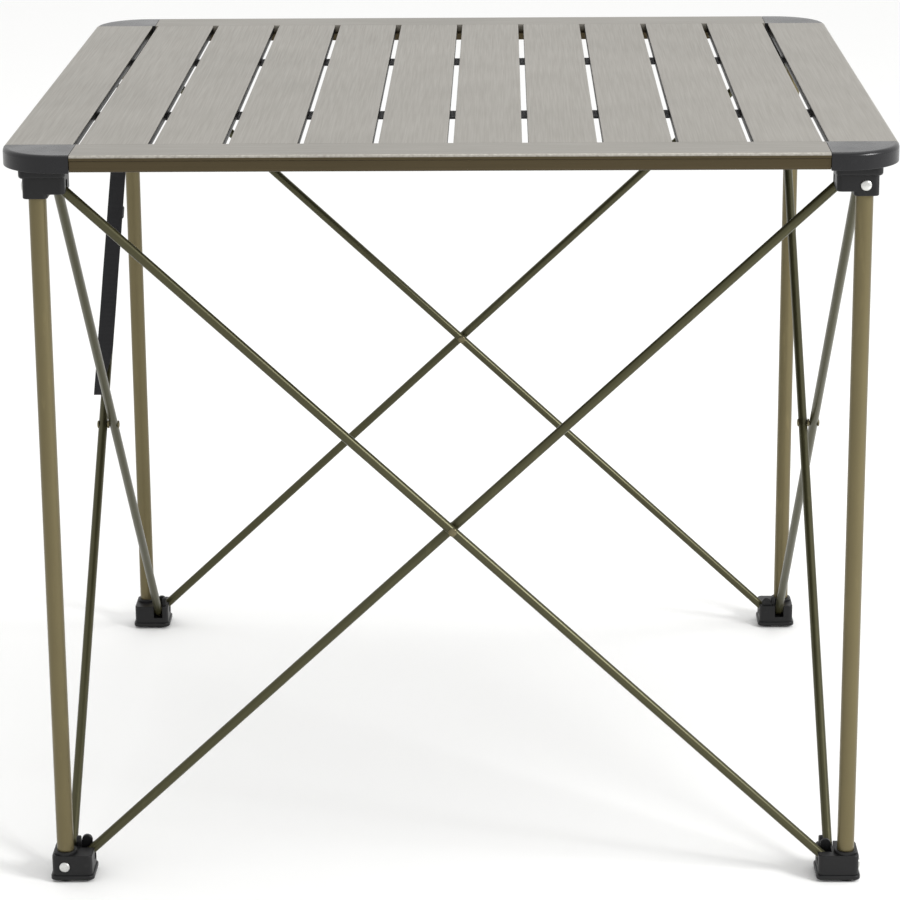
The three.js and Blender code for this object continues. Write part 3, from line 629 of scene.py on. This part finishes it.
def slat_tree(material):
    """A bar along Y: a rounded outline less its chambers, filled and drawn out."""
    tree = bpy.data.node_groups.new("Slat extrusion", "GeometryNodeTree")
    face = tree.interface
    face.new_socket("Geometry", in_out="INPUT", socket_type="NodeSocketGeometry")
    for name in ("Width", "Thickness", "Length", "Edge", "Outer edge", "Wall"):
        face.new_socket(name, in_out="INPUT", socket_type="NodeSocketFloat")
    for name in ("Outer corner", "Chambers"):
        face.new_socket(name, in_out="INPUT", socket_type="NodeSocketInt")
    face.new_socket("Geometry", in_out="OUTPUT", socket_type="NodeSocketGeometry")
    given = add(tree, "NodeGroupInput").outputs

    outline = add(tree, "GeometryNodeCurvePrimitiveQuadrilateral", {
        "Width": given["Width"], "Height": given["Thickness"]}, mode="RECTANGLE").outputs["Curve"]
    is_outer = add(tree, "FunctionNodeCompare", {
        2: add(tree, "GeometryNodeInputIndex").outputs["Index"], 3: given["Outer corner"],
    }, data_type="INT", operation="EQUAL").outputs["Result"]
    radius = add(tree, "GeometryNodeSwitch", {
        "Switch": is_outer, "False": given["Edge"], "True": given["Outer edge"],
    }, input_type="FLOAT").outputs["Output"]
    rounded = add(tree, "GeometryNodeFilletCurve", {
        "Curve": outline, "Count": 6, "Radius": radius}, mode="POLY").outputs["Curve"]

    walls = add(tree, "ShaderNodeMath", {0: given["Chambers"], 1: 1.0}, operation="ADD").outputs[0]
    wall_total = add(tree, "ShaderNodeMath", {0: given["Wall"], 1: walls}, operation="MULTIPLY").outputs[0]
    hollows = add(tree, "ShaderNodeMath", {
        0: given["Width"], 1: wall_total}, operation="SUBTRACT").outputs[0]
    hollow = add(tree, "ShaderNodeMath", {0: hollows, 1: given["Chambers"]}, operation="DIVIDE").outputs[0]
    pitch = add(tree, "ShaderNodeMath", {0: hollow, 1: given["Wall"]}, operation="ADD").outputs[0]
    steps = add(tree, "ShaderNodeMath", {0: given["Chambers"], 1: 1.0}, operation="SUBTRACT").outputs[0]
    back = add(tree, "ShaderNodeMath", {0: pitch, 1: -0.5}, operation="MULTIPLY").outputs[0]
    first = add(tree, "ShaderNodeMath", {0: steps, 1: back}, operation="MULTIPLY").outputs[0]
    both_walls = add(tree, "ShaderNodeMath", {0: given["Wall"], 1: 2.0}, operation="MULTIPLY").outputs[0]
    height = add(tree, "ShaderNodeMath", {
        0: given["Thickness"], 1: both_walls}, operation="SUBTRACT").outputs[0]
    chamber = add(tree, "GeometryNodeCurvePrimitiveQuadrilateral", {
        "Width": hollow, "Height": height}, mode="RECTANGLE").outputs["Curve"]
    start = add(tree, "ShaderNodeCombineXYZ", {"X": first}).outputs["Vector"]
    offset = add(tree, "ShaderNodeCombineXYZ", {"X": pitch}).outputs["Vector"]
    row = add(tree, "GeometryNodeMeshLine", {
        "Count": given["Chambers"], "Start Location": start, "Offset": offset})
    chambers = add(tree, "GeometryNodeRealizeInstances", {
        "Geometry": add(tree, "GeometryNodeInstanceOnPoints", {
            "Points": row.outputs["Mesh"], "Instance": chamber}).outputs["Instances"]})

    section = add(tree, "GeometryNodeJoinGeometry")
    tree.links.new(rounded, section.inputs["Geometry"])
    tree.links.new(chambers.outputs["Geometry"], section.inputs["Geometry"])
    filled = add(tree, "GeometryNodeFillCurve", {
        "Curve": section.outputs["Geometry"]}, mode="NGONS").outputs["Mesh"]
    drawn = add(tree, "GeometryNodeExtrudeMesh", {
        "Mesh": filled, "Offset": (0, 0, 1), "Offset Scale": given["Length"],
        "Individual": False}, mode="FACES").outputs["Mesh"]
    end = add(tree, "GeometryNodeFlipFaces", {"Mesh": filled}).outputs["Mesh"]
    whole = add(tree, "GeometryNodeJoinGeometry")
    tree.links.new(drawn, whole.inputs["Geometry"])
    tree.links.new(end, whole.inputs["Geometry"])
    closed = add(tree, "GeometryNodeMergeByDistance", {
        "Geometry": whole.outputs["Geometry"], "Distance": 0.001 * MM}).outputs["Geometry"]
    half_length = add(tree, "ShaderNodeMath", {0: given["Length"], 1: 0.5}, operation="MULTIPLY").outputs[0]
    middle_place = add(tree, "ShaderNodeCombineXYZ", {"Y": half_length}).outputs["Vector"]
    laid = add(tree, "GeometryNodeTransform", {
        "Geometry": closed, "Translation": middle_place,
        "Rotation": (math.pi / 2, 0, 0)}).outputs["Geometry"]
    realized = add(tree, "GeometryNodeRealizeInstances", {"Geometry": laid}).outputs["Geometry"]
    finished = add(tree, "GeometryNodeSetMaterial", {"Geometry": realized, "Material": material})
    add(tree, "NodeGroupOutput", {"Geometry": finished.outputs["Geometry"]})
    return tree


class RailsOperator(bpy.types.Operator):
    """Make the front and back edge rails"""

    bl_idname = "camp_table.rails"
    bl_label = "Edge rails"

    def execute(self, context):
        settings = context.scene.camp_table.rails
        top_colour = shade(context.scene.camp_table.slats.colour, 0.94)
        # The face colour is painted shade on the rail's upright face; 0.4 makes the paler nose partly wear
        # and partly a painted highlight.
        material = anodised_aluminium(
            "Anodised aluminium rail", top_colour, settings.painted_face_shade, 0, 0.4)
        front = rail_mesh(settings)
        for index, side in enumerate(("front", "back")):
            piece(f"edge_rail_{side}_extrusion", turned_copy(front, quarter(2 * index)), material,
                  "top_left_end", [f"edge_rail_{side}"])
        return {"FINISHED"}


def rail_mesh(settings):
    """The front rail: a rounded nose over a plain face, chambers, and a step for the slats."""
    outer, inner = -HALF, CAP_INNER.y + 0.1 * MM
    step_y, step_z = -SLAT_END + 8 * MM, SLAT_BOTTOM - SEAM
    face = outer + settings.recess
    nose, foot, wall = settings.nose, 3 * MM, settings.wall
    front_wall = 3.6 * MM
    outline = [
        *arc((face + foot, RAIL_BOTTOM + foot), foot, 180, 270, 8),
        (step_y, RAIL_BOTTOM), (step_y, step_z), (inner, step_z), (inner, TOP),
        *arc((outer + nose, TOP - nose), nose, 90, 180, 12),
        (outer, TOP - nose - 0.6 * MM), (face, TOP - nose - 1.4 * MM),
    ]
    web = outer + 28 * MM
    hollows = [
        [(outer + front_wall, RAIL_BOTTOM + 2 * MM), (web, TOP - 2 * MM)],
        [(web + wall, RAIL_BOTTOM + wall), (inner - wall, TOP - wall)],
        [(web + wall, RAIL_BOTTOM + wall), (step_y - wall, step_z - wall)],
    ]
    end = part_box("edge_rail_front")[1].x - 14 * MM
    bar = extruded(outline, end)
    tools = [("DIFFERENCE", block((-HALF, low[0], low[1]), (HALF, high[0], high[1])))
             for low, high in hollows]
    tongues = [("UNION", block((min(a, b), outer + 9 * MM, RAIL_BOTTOM + 0.9 * MM),
                               (max(a, b), -SLAT_END - 6 * MM, TOP - 6 * MM)))
               for a, b in ((end - 4 * MM, end + 14 * MM), (-end + 4 * MM, -end - 14 * MM))]
    mesh = combined(bar, *tools, *tongues)
    # The nose is marked for wear with a painted highlight, and the face below it for painted shade.
    mark_worn_and_highlit_edges(mesh, TOP, nose * 0.6)
    mark_painted_shade(mesh, TOP - nose * 0.5)
    return mesh


def extruded(outline, half_length):
    """A bar along X from an outline in YZ, drawn anticlockwise seen from +X."""
    return rings_object("bar", [[(x, y, z) for y, z in outline] for x in (-half_length, half_length)])


class CapsOperator(bpy.types.Operator):
    """Make the four moulded corner caps"""

    bl_idname = "camp_table.caps"
    bl_label = "Corner caps"

    def execute(self, context):
        settings = context.scene.camp_table.caps
        material = moulded_plastic("Moulded nylon cap", settings.colour, 0.26, 0.08)
        cap = cap_mesh(settings)
        mirror = Matrix.Scale(-1, 4, (0, 1, 0))
        places = (Matrix.Identity(4), mirror, quarter(2), quarter(2) @ mirror)
        for corner, place in zip(CORNERS, places):
            body = "top_left_end" if corner.endswith("left") else "top_right_end"
            piece(f"corner_cap_{corner}_moulding", turned_copy(cap, place), material, body,
                  [f"corner_cap_{corner}"], MOULDED_CREASE)
        return {"FINISHED"}


def cap_mesh(settings):
    """The front right cap: a swept block with a rounded crown and a flat underside, a pocket
    over the rail's tongue and a plug in the end slat."""
    x0, y1 = CAP_INNER
    edge = 0.5 * MM

    def sweep(inset):
        outer, radius = HALF - inset, settings.corner - inset
        corner = arc((outer - radius, -outer + radius), radius, 270, 360, 24)
        return [(x0, -outer), *corner, (outer, y1), (x0, y1)]

    crown = slab(sweep, CAP_BOTTOM, TOP, edge, settings.rounding, 8)
    rail_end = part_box("edge_rail_front")[1].x
    pocket = block((x0 - 10 * MM, -HALF + 8.2 * MM, CAP_BOTTOM - 10 * MM),
                   (rail_end + 2 * MM, -SLAT_END - 5.2 * MM, TOP - 5.2 * MM))
    centre = middle("slat_12").x
    half, spare = 9.6 * MM, 1.6 * MM
    plug = block((centre - half, y1 - 3 * MM, SLAT_BOTTOM + spare),
                 (centre + half, y1 + 15 * MM, TOP - spare))
    return combined(crown, ("DIFFERENCE", pocket), ("UNION", plug))


class HubsOperator(bpy.types.Operator):
    """Make the four hubs at the tops of the legs"""

    bl_idname = "camp_table.hubs"
    bl_label = "Hubs"

    def execute(self, context):
        blocks, tubes = context.scene.camp_table.blocks, context.scene.camp_table.tubes
        material = moulded_plastic("Moulded nylon hub", blocks.colour, 0.4, 0.18)
        hub = hub_mesh(blocks, tubes)
        for turns, corner in enumerate(CORNERS):
            piece(f"hub_{corner}_moulding", turned_copy(hub, quarter(turns)), material,
                  f"hub_{corner}", [f"hub_{corner}"], MOULDED_CREASE)
        return {"FINISHED"}


def arm_slots(tubes, low, high, crossing):
    """The two slots that the arm ends turn in. The outer arm's slot runs along one side or,
    on the feet, where the sides cross over, along the other."""
    half = (tubes.arm + SLOT_SPARE) / 2
    near = PIVOT_IN - tubes.arm / 2 - SLOT_CLEARANCE
    far = BLOCK_IN + 10 * MM
    first, second = (OUTER_ARM_IN, INNER_ARM_IN) if not crossing else (INNER_ARM_IN, OUTER_ARM_IN)
    return [
        ("DIFFERENCE", corner_block(first - half, first + half, near, far, low, high)),
        ("DIFFERENCE", corner_block(near, far, second - half, second + half, low, high)),
    ]


def hub_mesh(blocks, tubes):
    """A block under a wide flange, with two slots open below and a socket for the leg."""
    flange = slab(corner_outline(BLOCK_OUT + 3 * MM, BLOCK_IN + 1 * MM, 6 * MM),
                  HUB_TOP - 8 * MM, HUB_TOP, 2.4 * MM, 1.2 * MM)
    body = slab(corner_outline(BLOCK_OUT, BLOCK_IN, blocks.corner),
                HUB_BOTTOM + 4 * MM, HUB_TOP - 3 * MM, blocks.rounding, 0.4 * MM)
    collar = slab(corner_outline(BLOCK_OUT, BLOCK_OUT - 1.5 * MM, 4.5 * MM),
                  HUB_BOTTOM, HUB_BOTTOM + 12 * MM, blocks.rounding, 0.3 * MM)
    mouth = HUB_BOTTOM - 5 * MM
    tools = []
    for tube, diameter in (("leg_tube", tubes.leg), ("leg_inner_tube", tubes.leg_inner)):
        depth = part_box(f"{tube}_front_right")[1].z + SEAM - mouth
        radius = diameter / 2 + SEAM
        tools.append(("DIFFERENCE", turned(
            [(0, radius), (depth, radius)], in_corner(0, 0, mouth), (0, 0, 1), 40)))
    slot_top = HUB_PIVOT.z + tubes.arm / 2 + SLOT_CLEARANCE
    return combined(
        body, ("UNION", flange), ("UNION", collar),
        *arm_slots(tubes, HUB_BOTTOM - 10 * MM, slot_top, False), *tools)


class FeetOperator(bpy.types.Operator):
    """Make the four feet"""

    bl_idname = "camp_table.feet"
    bl_label = "Feet"

    def execute(self, context):
        blocks, tubes = context.scene.camp_table.blocks, context.scene.camp_table.tubes
        material = moulded_plastic("Moulded nylon foot", blocks.colour, 0.42, 0.2)
        foot = foot_mesh(blocks, tubes)
        for turns, corner in enumerate(CORNERS):
            piece(f"foot_{corner}_moulding", turned_copy(foot, quarter(turns)), material,
                  f"leg_{corner}", [f"foot_{corner}"], MOULDED_CREASE)
        return {"FINISHED"}


def foot_mesh(blocks, tubes):
    """A block on a sole flange, with a round collar, a prong beside each arm and a nub below."""
    prong_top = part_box("foot_front_right")[1].z
    foot_top = prong_top - 8.5 * MM
    sole = slab(corner_outline(BLOCK_OUT + 1.5 * MM, BLOCK_IN + 1.5 * MM, 6 * MM),
                2.5 * MM, 7 * MM, 1.0 * MM, 1.2 * MM)
    body = slab(corner_outline(BLOCK_OUT, BLOCK_IN, blocks.corner), 5 * MM, foot_top,
                0.3 * MM, blocks.rounding)
    collar_radius = tubes.leg / 2 + 3 * MM
    collar = turned([(0, collar_radius), (8 * MM, collar_radius), (8.7 * MM, collar_radius - 0.3 * MM),
                     (9 * MM, collar_radius - 1 * MM)], in_corner(0, 0, foot_top - 6 * MM), (0, 0, 1), 40)
    nub = turned([(0, 9 * MM), (0.3 * MM, 9.7 * MM), (1 * MM, 10 * MM), (4 * MM, 10 * MM)],
                 in_corner(0, 0), (0, 0, 1), 40)
    heel = turned([(0, 6 * MM), (0.3 * MM, 6.7 * MM), (1 * MM, 7 * MM), (4 * MM, 7 * MM)],
                  in_corner(16 * MM, 16 * MM), (0, 0, 1), 32)
    half_slot = (tubes.arm + SLOT_SPARE) / 2
    prong_half, thick = 5 * MM, 4 * MM
    near, far = PIVOT_IN - prong_half, PIVOT_IN + prong_half
    outer_wall, inner_wall = OUTER_ARM_IN + half_slot, INNER_ARM_IN + half_slot
    straight = prong_top - prong_half
    edge = 0.6 * MM
    rounded = [(0, prong_half - edge), (edge, prong_half), (thick - edge, prong_half),
               (thick, prong_half - edge)]
    prongs = [
        ("UNION", turned(rounded, in_corner(PIVOT_IN, outer_wall, straight), (0, 1, 0), 40)),
        ("UNION", corner_block(near, far, outer_wall, outer_wall + thick, 8 * MM, straight)),
        ("UNION", turned(rounded, in_corner(inner_wall, PIVOT_IN, straight), (-1, 0, 0), 40)),
        ("UNION", corner_block(inner_wall, inner_wall + thick, near, far, 8 * MM, straight)),
    ]
    above = 60 * MM
    socket = turned([(0, tubes.leg / 2 + SEAM), (above, tubes.leg / 2 + SEAM)],
                    in_corner(0, 0, 8 * MM), (0, 0, 1), 40)
    slot_floor = FOOT_PIVOT.z - tubes.arm / 2 - SLOT_CLEARANCE
    return combined(
        body, ("UNION", sole), ("UNION", collar), ("UNION", nub), ("UNION", heel),
        *prongs, *arm_slots(tubes, slot_floor, above, True), ("DIFFERENCE", socket))


class LegsOperator(bpy.types.Operator):
    """Make the outer and inner tubes of the four legs"""

    bl_idname = "camp_table.legs"
    bl_label = "Legs"

    def execute(self, context):
        tubes = context.scene.camp_table.tubes
        material = anodised_tube("Satin anodised leg tube", tubes.leg_colour)
        wall = 1.2 * MM
        sizes = {"leg_tube": (tubes.leg, "leg"), "leg_inner_tube": (tubes.leg_inner, "hub")}
        for prefix, (diameter, body) in sizes.items():
            low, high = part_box(f"{prefix}_front_right")
            outer, inner, edge = diameter / 2, diameter / 2 - wall, 0.3 * MM
            length = high.z - low.z
            profile = [
                (0, outer - edge), (edge, outer), (length - edge, outer), (length, outer - edge),
                (length, inner + edge), (length - edge, inner), (edge, inner), (0, inner + edge)]
            tube = evaluated_mesh(turned(profile, in_corner(0, 0, low.z), (0, 0, 1), 48, True))
            for turns, corner in enumerate(CORNERS):
                piece(f"{prefix}_{corner}_drawn", turned_copy(tube, quarter(turns)), material,
                      f"{body}_{corner}", [f"{prefix}_{corner}"])
        return {"FINISHED"}


class ArmsOperator(bpy.types.Operator):
    """Make the eight crossed arms"""

    bl_idname = "camp_table.arms"
    bl_label = "Arms"

    def execute(self, context):
        tubes = context.scene.camp_table.tubes
        # The arm colour is the legs' bronze made darker as painted shade.
        material = anodised_tube("Satin anodised arm tube", tubes.arm_colour_with_shade)
        # Kind, distance in from the leg, hub and foot ends, and the pins' reach in and out.
        plans = (
            ("outer", OUTER_ARM_IN, -PIVOT, PIVOT, 7.8 * MM, 10.5 * MM),
            ("inner", INNER_ARM_IN, PIVOT, -PIVOT, 9.2 * MM, 11.2 * MM))
        for kind, inward, hub_y, foot_y, reach_in, reach_out in plans:
            plane = LEG_AXIS - inward
            hub_end = Vector((plane, hub_y, HUB_PIVOT.z))
            foot_end = Vector((plane, foot_y, FOOT_PIVOT.z))
            arm = arm_mesh(tubes, foot_end, hub_end, reach_in, reach_out)
            for turns, side in enumerate(SIDES):
                node = f"{kind}_arm_{side}"
                piece(f"{node}_drawn", turned_copy(arm, quarter(turns)), material, node,
                      [node])
        return {"FINISHED"}


def arm_mesh(tubes, foot_end, hub_end, reach_in, reach_out):
    """A tube with rounded ends and a pin through each end."""
    radius = tubes.arm / 2
    axis = hub_end - foot_end
    length = axis.length
    steps = 6
    cap = [(radius * math.cos(math.pi / 2 * s / steps), radius * math.sin(math.pi / 2 * s / steps))
           for s in range(steps + 1)]
    profile = [(-along, across) for along, across in cap]
    profile += [(length + along, across) for along, across in reversed(cap)]
    meshes = [evaluated_mesh(turned(profile, foot_end, axis, 32))]
    pin, edge = tubes.pin / 2, 0.3 * MM
    for end in (foot_end, hub_end):
        start, span = end - Vector((reach_in, 0, 0)), reach_in + reach_out
        meshes.append(evaluated_mesh(turned(
            [(0, pin - edge), (edge, pin), (span - edge, pin), (span, pin - edge)],
            start, (1, 0, 0), 24)))
    return joined(meshes)


class RivetsOperator(bpy.types.Operator):
    """Make the rivets in the hubs, the feet and the crossings"""

    bl_idname = "camp_table.rivets"
    bl_label = "Rivets"

    def execute(self, context):
        material = plated_steel("Zinc-plated steel rivet", linear("#b9b9b6"), linear("#dededc"))
        bronze = plated_steel("Bronze-plated steel rivet", linear("#57513c"), linear("#7d765c"))
        head_radius, crown, shank_length = 5 * MM, 1.8 * MM, 20 * MM
        for turns, corner in enumerate(CORNERS):
            for part, body in (("hub", "hub"), ("foot", "leg")):
                node = f"{part}_rivet_{corner}"
                low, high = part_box(f"{part}_rivet_front_right")
                centre = (low + high) / 2
                if part == "hub":
                    origin, axis = Vector((centre.x, -LEG_AXIS - BLOCK_OUT, centre.z)), (0, 1, 0)
                else:
                    origin, axis = Vector((LEG_AXIS + BLOCK_OUT, centre.y, centre.z)), (-1, 0, 0)
                mesh = rivet_mesh(origin, axis, head_radius, crown, shank_length)
                piece(f"{node}_head", turned_copy(mesh, quarter(turns)), material,
                      f"{body}_{corner}", [node], RIVET_CREASE)
        tubes = context.scene.camp_table.tubes
        half = (INNER_ARM_IN - OUTER_ARM_IN) / 2
        centre = Vector((LEG_AXIS - OUTER_ARM_IN - half, 0, (HUB_PIVOT.z + FOOT_PIVOT.z) / 2))
        face = half + tubes.arm / 2
        collar = half - tubes.arm / 2 - 0.2 * MM
        shank, head, height = 1.9 * MM, 4.0 * MM, 1.2 * MM
        profile = [
            *dome(-face, -1, head, height), (-face + 0.3 * MM, head), (-face + 0.3 * MM, shank),
            (-collar, shank), (-collar, head), (collar, head), (collar, shank),
            (face - 0.3 * MM, shank), (face - 0.3 * MM, head), *reversed(dome(face, 1, head, height))]
        crossing = evaluated_mesh(turned(profile, centre, (1, 0, 0), 32))
        for turns, side in enumerate(SIDES):
            piece(f"crossing_rivet_{side}_heads", turned_copy(crossing, quarter(turns)), bronze,
                  f"outer_arm_{side}", [f"crossing_rivet_{side}"], RIVET_CREASE)
        return {"FINISHED"}


def dome(face, side, radius, height):
    """A domed head's profile, from its crown to its rim."""
    rim, steps = 0.4 * MM, 6
    angles = [math.pi / 2 * step / steps for step in range(steps + 1)]
    return [(face + side * (rim + height * math.cos(a)), radius * math.sin(a)) for a in angles]


def rivet_mesh(origin, axis, radius, height, depth):
    shank = 2.4 * MM
    profile = [*dome(0, -1, radius, height), (-0.1 * MM, radius), (-0.1 * MM, shank), (depth, shank)]
    return evaluated_mesh(turned(profile, origin, axis, 40))


class WebbingOperator(bpy.types.Operator):
    """Make the two straps that join the slats"""

    bl_idname = "camp_table.webbing"
    bl_label = "Slat webbing"

    def execute(self, context):
        settings = context.scene.camp_table.webbing
        material = woven_webbing("Woven polyester webbing", settings.colour, settings.rib)
        gaps = [(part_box(f"slat_{i:02d}")[1].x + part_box(f"slat_{i + 1:02d}")[0].x) / 2
                for i in range(1, SLAT_COUNT)]
        for side in ("front", "back"):
            node = f"webbing_{side}"
            low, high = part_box(node)
            edges = [low.x, *((a + b) / 2 for a, b in zip(gaps, gaps[1:])), high.x]
            for index, gap in enumerate(gaps):
                mesh = strap_mesh(edges[index], edges[index + 1], low, high)
                thing = piece(f"{node}_{index + 1:02d}", mesh, material, None)
                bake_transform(thing)
                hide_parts(node)
        return {"FINISHED"}


def strap_mesh(start, end, low, high):
    """A length of strap along X with rounded selvedges and a map of its length and width."""
    step = 1.5 * MM
    count = max(2, round((end - start) / step))
    radius = (high.z - low.z) / 2
    outline = rounded_outline(low[1:], high[1:], [radius * 0.9] * 4, 3)
    rings = [[(start + (end - start) * i / count, y, z) for y, z in outline] for i in range(count + 1)]
    mesh = evaluated_mesh(rings_object("strap", rings))
    map_strap(mesh, lambda place: (place.x, place.y))
    return mesh


class BindingOperator(bpy.types.Operator):
    """Make the binding strap on the left side's outer arm"""

    bl_idname = "camp_table.binding"
    bl_label = "Binding strap"

    def execute(self, context):
        settings = context.scene.camp_table.webbing
        arm = context.scene.camp_table.tubes.arm
        material = woven_webbing("Woven polyester binding", settings.colour, settings.rib)
        loops = (65 * MM, 205 * MM)
        rise, run = HUB_PIVOT.z - FOOT_PIVOT.z, 2 * PIVOT
        length = math.hypot(rise, run)
        along = Vector((0, -run, rise)) / length
        across = Vector((0, -rise, -run)) / length
        crossing = Vector((LEG_AXIS - OUTER_ARM_IN, 0, (HUB_PIVOT.z + FOOT_PIVOT.z) / 2))
        place = Matrix.Translation(crossing) @ Matrix(
            (along, across, (1, 0, 0))).transposed().to_4x4()
        strap = joined([ribbon_mesh(length / 2, arm / 2),
                        *(loop_mesh(length / 2 - from_hub, arm / 2) for from_hub in loops)])
        strap.transform(quarter(2) @ place)
        piece("binding_strap_woven", strap, material, "outer_arm_left", ["binding_strap"])
        return {"FINISHED"}


def ribbon_mesh(hub_end, arm_radius):
    """The ribbon, drawn along X under the arm. It waves a little and ends in a narrow tail."""
    from_hub, ribbon, tail = 45 * MM, 400 * MM, 60 * MM
    start, end = hub_end - from_hub - ribbon, hub_end - from_hub
    thick, width, narrow = 1.6 * MM, 16.5 * MM, 8 * MM
    outer_z = width - arm_radius - 1 * MM
    swing, wave_steps, steps = 0.35 * MM, 44, 200
    rings = []
    for step in range(steps + 1):
        x = start + (end - start) * step / steps
        share = min(1.0, (x - start) / tail)
        wide = narrow + (width - narrow) * share ** 2 * (3 - 2 * share)
        wave = swing * math.sin(math.tau * step / wave_steps)
        top = -arm_radius - 0.5 * MM + wave - swing
        outline = rounded_outline((top - thick, outer_z - wide), (top, outer_z), [thick * 0.42] * 4, 4)
        rings.append([(x, y, z) for y, z in outline])
    mesh = evaluated_mesh(rings_object("ribbon", rings))
    map_strap(mesh, lambda place: (place.x, place.z))
    return mesh


def loop_mesh(end, arm_radius):
    """An elastic loop round the arm, which holds the ribbon. Its edges are rounded."""
    width, inside, outside = 12 * MM, arm_radius + 0.3 * MM, arm_radius + 1.5 * MM
    edge = 0.45 * MM
    profile = [
        (edge, outside), (width - edge, outside), (width, outside - edge), (width, inside + edge),
        (width - edge, inside), (edge, inside), (0, inside + edge), (0, outside - edge)]
    mesh = evaluated_mesh(turned(profile, (end - width, 0, 0), (1, 0, 0), 48, True))
    map_strap(mesh, lambda place: (arm_radius * math.atan2(place.z, place.y), place.x))
    return mesh


def map_strap(mesh, place_on_strap):
    """A UV map in metres: along the strap, then across it."""
    layer = mesh.uv_layers.new(name="webbing")
    for loop in mesh.loops:
        layer.data[loop.index].uv = place_on_strap(mesh.vertices[loop.vertex_index].co)


CAMERA_PLACE = (0.047, -3.190, 1.241)
CAMERA_YAW, CAMERA_ROLL = math.radians(0.99), math.radians(-0.42)


class StageOperator(bpy.types.Operator):
    """Set out the floor, the lights and the camera"""

    bl_idname = "camp_table.stage"
    bl_label = "Studio"

    def execute(self, context):
        settings = context.scene.camp_table.stage
        reach = 30
        floor = mesh_object(
            "studio_floor",
            [(-reach, -reach, 0), (reach, -reach, 0), (reach, reach, 0), (-reach, reach, 0)],
            [(0, 1, 2, 3)])
        floor.data.materials.append(studio_floor("Matt painted floor", settings.floor_colour))
        world = bpy.data.worlds.new("Studio")
        context.scene.world = world
        world.use_nodes = True
        background = world.node_tree.nodes["Background"].inputs
        background["Color"].default_value = (1, 1, 1, 1)
        background["Strength"].default_value = 1.0
        under_the_top = (0, 0, 0.5)
        softbox("key", place=(2.6, -1.6, 2.0), target=under_the_top, size=1.0, power=75)
        softbox("overhead", place=(0.4, 0.6, 3.4), target=under_the_top, size=2.4, power=22)
        camera_data = bpy.data.cameras.new("camera")
        camera_data.lens = settings.lens
        camera_data.sensor_width = 36
        camera_data.clip_end = 100
        camera = bpy.data.objects.new("camera", camera_data)
        context.collection.objects.link(camera)
        camera.location = CAMERA_PLACE
        yaw, roll = CAMERA_YAW, CAMERA_ROLL
        camera.rotation_euler = (
            Matrix.Rotation(yaw, 3, "Z") @ Matrix.Rotation(math.pi / 2 - settings.pitch, 3, "X")
            @ Matrix.Rotation(roll, 3, "Z")).to_euler()
        context.scene.camera = camera
        context.scene.view_settings.view_transform = "Standard"
        return {"FINISHED"}


def softbox(name, place, target, size, power):
    light = bpy.data.lights.new(name, "AREA")
    light.size = size
    light.energy = power
    thing = bpy.data.objects.new(name, light)
    bpy.context.collection.objects.link(thing)
    thing.location = place
    thing.rotation_euler = (Vector(target) - Vector(place)).to_track_quat("-Z", "Y").to_euler()
    return thing


class TablePanel(bpy.types.Panel):
    """The table's pieces in the 3D view's sidebar"""

    bl_idname = "VIEW3D_PT_camp_table"
    bl_label = "Camp table"
    bl_space_type = "VIEW_3D"
    bl_region_type = "UI"
    bl_category = "Camp table"

    def draw(self, context):
        for operator in OPERATORS:
            self.layout.operator(operator.bl_idname)


SETTINGS = (SlatSettings, RailSettings, CapSettings, BlockSettings, TubeSettings,
            WebbingSettings, StageSettings, TableSettings)
OPERATORS = (StageOperator, SlatsOperator, RailsOperator, CapsOperator, HubsOperator,
             FeetOperator, LegsOperator, ArmsOperator, RivetsOperator, WebbingOperator,
             BindingOperator)


def register():
    for item in (*SETTINGS, *OPERATORS, TablePanel):
        bpy.utils.register_class(item)
    bpy.types.Scene.camp_table = PointerProperty(type=TableSettings)


def unregister():
    del bpy.types.Scene.camp_table
    for item in reversed((*SETTINGS, *OPERATORS, TablePanel)):
        bpy.utils.unregister_class(item)


def main():
    register()
    for operator in OPERATORS:
        group, name = operator.bl_idname.split(".")
        getattr(getattr(bpy.ops, group), name)()


if __name__ == "__main__":
    main()
